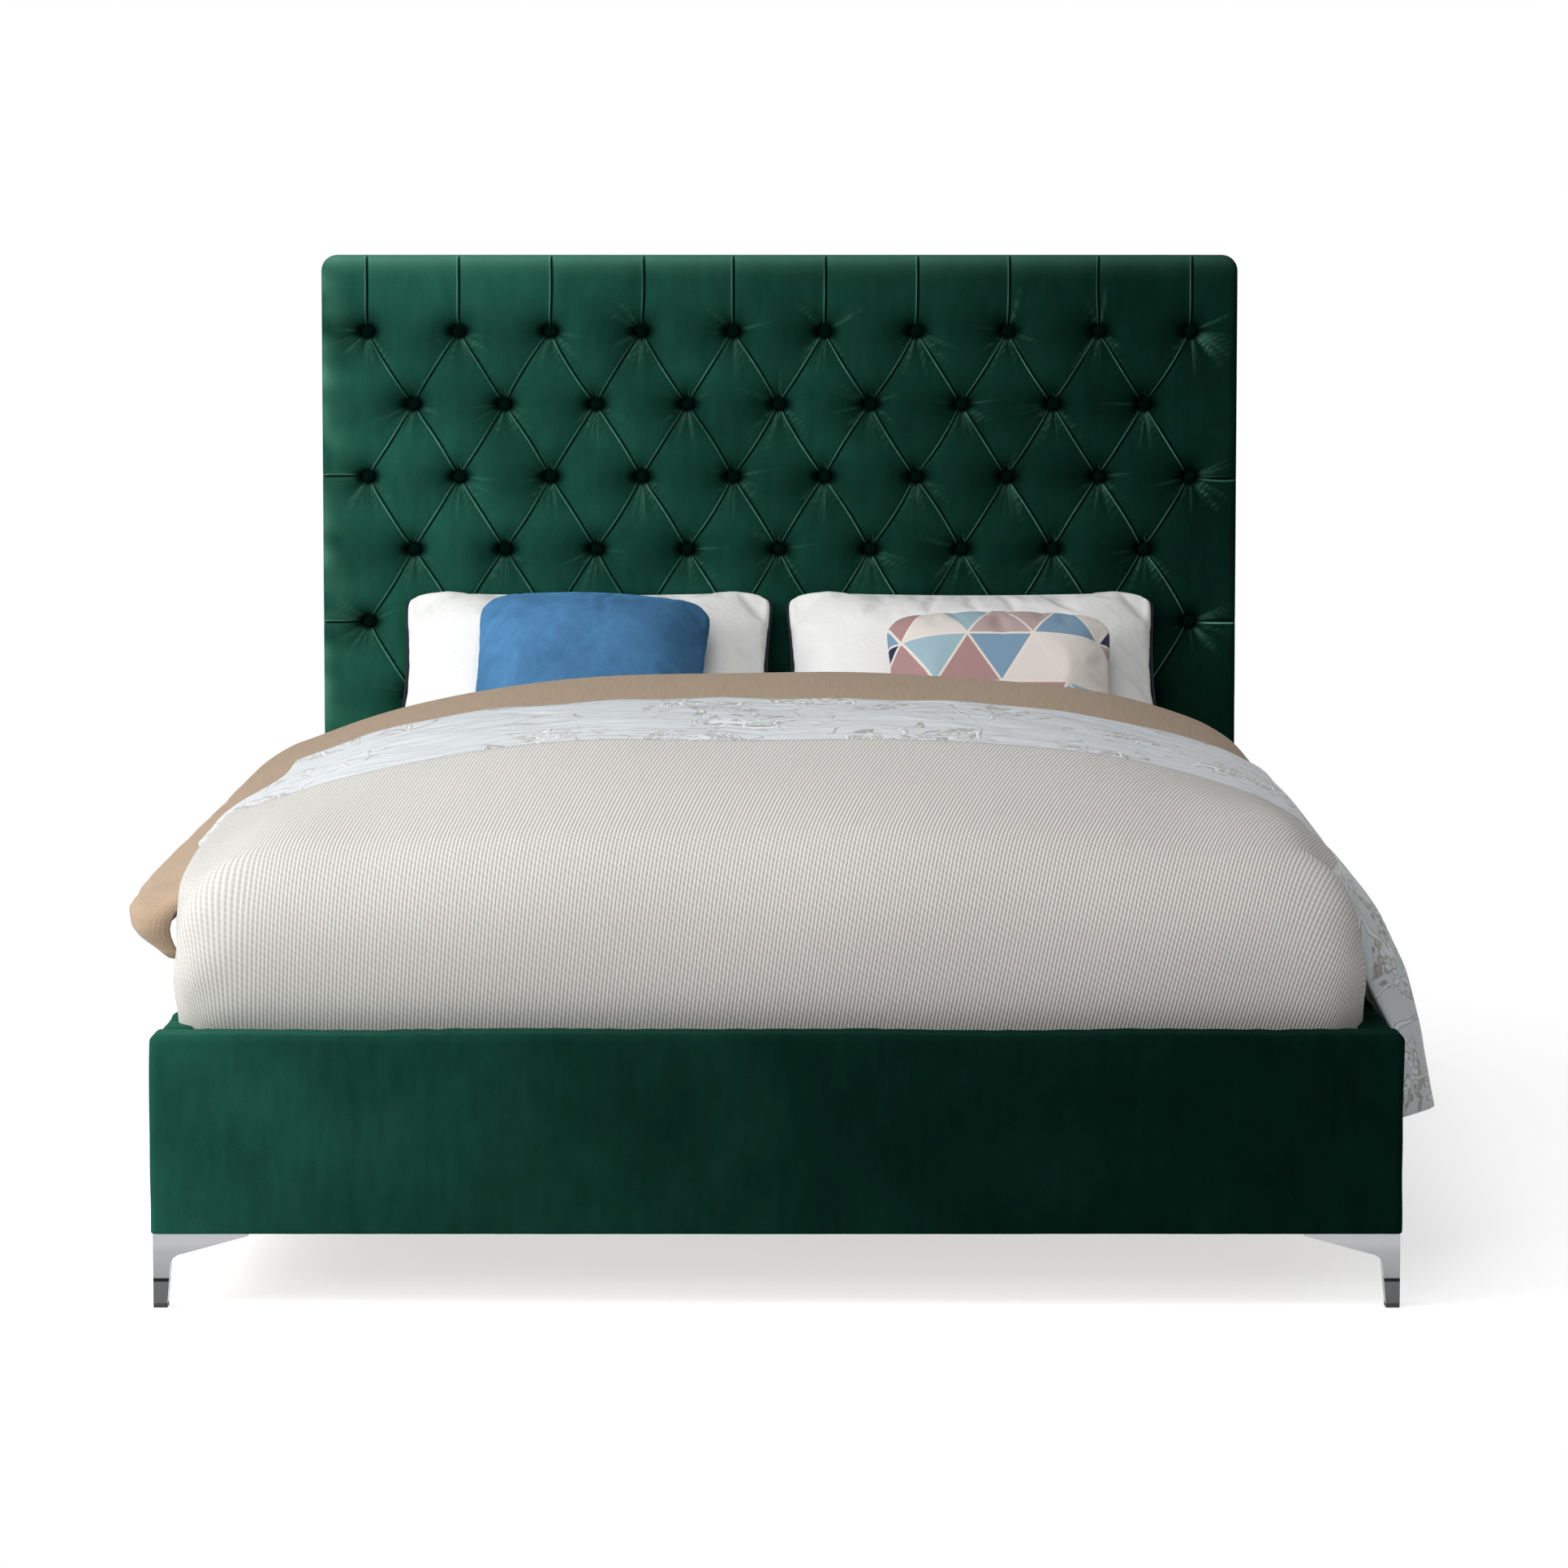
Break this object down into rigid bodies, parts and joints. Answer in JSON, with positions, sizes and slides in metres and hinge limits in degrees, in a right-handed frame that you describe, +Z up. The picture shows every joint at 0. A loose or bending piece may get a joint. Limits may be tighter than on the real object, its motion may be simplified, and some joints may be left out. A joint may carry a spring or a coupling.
{
  "type": "upholstered headboard bed",
  "caption": "Velvet platform bed with a tall deep-buttoned headboard, padded rails, metal corner legs, slats and centre support, made up with mattress, bedding and pillows.",
  "frame": {"origin": "on the floor, in the middle of the bed's footprint", "axes": "+Z up, +Y from the foot towards the headboard, +X to the right of someone standing at the foot and facing the headboard"},
  "size_m": [1.7569, 2.2276, 1.46],
  "materials": {
    "green_velvet": "matte",
    "foam": "matte",
    "panel_board": "matte",
    "dust_cloth": "matte",
    "pine": "satin",
    "black_steel": "satin",
    "polished_chrome": "polished",
    "black_plastic": "matte",
    "webbing": "matte",
    "ticking": "matte",
    "white_cotton": "matte",
    "tan_cloth": "matte",
    "embroidered_cloth": "matte",
    "ribbed_cloth": "matte",
    "pillow_cotton": "matte",
    "blue_velvet": "matte",
    "pattern_cloth": "matte"
  },
  "bodies": {
    "base": {"headboard_cover": "green_velvet", "footboard_cover": "green_velvet", "rail_cover_left": "green_velvet", "rail_cover_right": "green_velvet", "button_row_1": "green_velvet", "button_row_2": "green_velvet", "button_row_3": "green_velvet", "button_row_4": "green_velvet", "button_row_5": "green_velvet", "button_row_6": "green_velvet", "headboard_foam": "foam", "headboard_board": "panel_board", "headboard_back_cloth": "dust_cloth", "footboard_core": "pine", "rail_core_left": "pine", "rail_core_right": "pine", "slat_ledge_left": "pine", "slat_ledge_right": "pine", "slat_01": "pine", "slat_02": "pine", "slat_03": "pine", "slat_04": "pine", "slat_05": "pine", "slat_06": "pine", "slat_07": "pine", "slat_08": "pine", "slat_09": "pine", "slat_10": "pine", "slat_11": "pine", "slat_12": "pine", "bracket_foot_left": "black_steel", "bracket_foot_right": "black_steel", "bracket_head_left": "black_steel", "bracket_head_right": "black_steel", "centre_beam": "black_steel", "beam_shoe_foot": "black_steel", "beam_shoe_head": "black_steel", "centre_leg_foot": "black_steel", "centre_leg_head": "black_steel", "chrome_leg_front_left": "polished_chrome", "chrome_leg_front_right": "polished_chrome", "chrome_leg_rear_right": "polished_chrome", "chrome_leg_rear_left": "polished_chrome", "leg_pad_front_left": "black_plastic", "leg_pad_front_right": "black_plastic", "leg_pad_rear_right": "black_plastic", "leg_pad_rear_left": "black_plastic", "slat_strap_left": "webbing", "slat_strap_right": "webbing"},
    "mattress": {"mattress": "ticking", "duvet": "white_cotton", "throw": "tan_cloth", "quilt": "embroidered_cloth", "bedspread": "ribbed_cloth"},
    "pillow_left": {"pillow_left": "pillow_cotton"},
    "pillow_right": {"pillow_right": "pillow_cotton"},
    "cushion_blue": {"cushion_blue": "blue_velvet"},
    "cushion_pattern": {"cushion_pattern": "pattern_cloth"},
    "glide_foot": {"levelling_glide_foot": "black_plastic"},
    "glide_head": {"levelling_glide_head": "black_plastic"}
  },
  "joints": [
    {"name": "mattress_lift", "type": "slide", "parent": "base", "child": "mattress", "axis": [0, 0, 1], "range_m": [0, 0.45]},
    {"name": "pillow_left_lift", "type": "slide", "parent": "mattress", "child": "pillow_left", "axis": [0, 0, 1], "range_m": [0, 0.6]},
    {"name": "pillow_right_lift", "type": "slide", "parent": "mattress", "child": "pillow_right", "axis": [0, 0, 1], "range_m": [0, 0.6]},
    {"name": "cushion_blue_lift", "type": "slide", "parent": "pillow_left", "child": "cushion_blue", "axis": [0, 0, 1], "range_m": [0, 0.45]},
    {"name": "cushion_pattern_lift", "type": "slide", "parent": "pillow_right", "child": "cushion_pattern", "axis": [0, 0, 1], "range_m": [0, 0.45]},
    {"name": "glide_foot_level", "type": "slide", "parent": "base", "child": "glide_foot", "axis": [0, 0, -1], "range_m": [0, 0.015]},
    {"name": "glide_head_level", "type": "slide", "parent": "base", "child": "glide_head", "axis": [0, 0, -1], "range_m": [0, 0.015]}
  ]
}
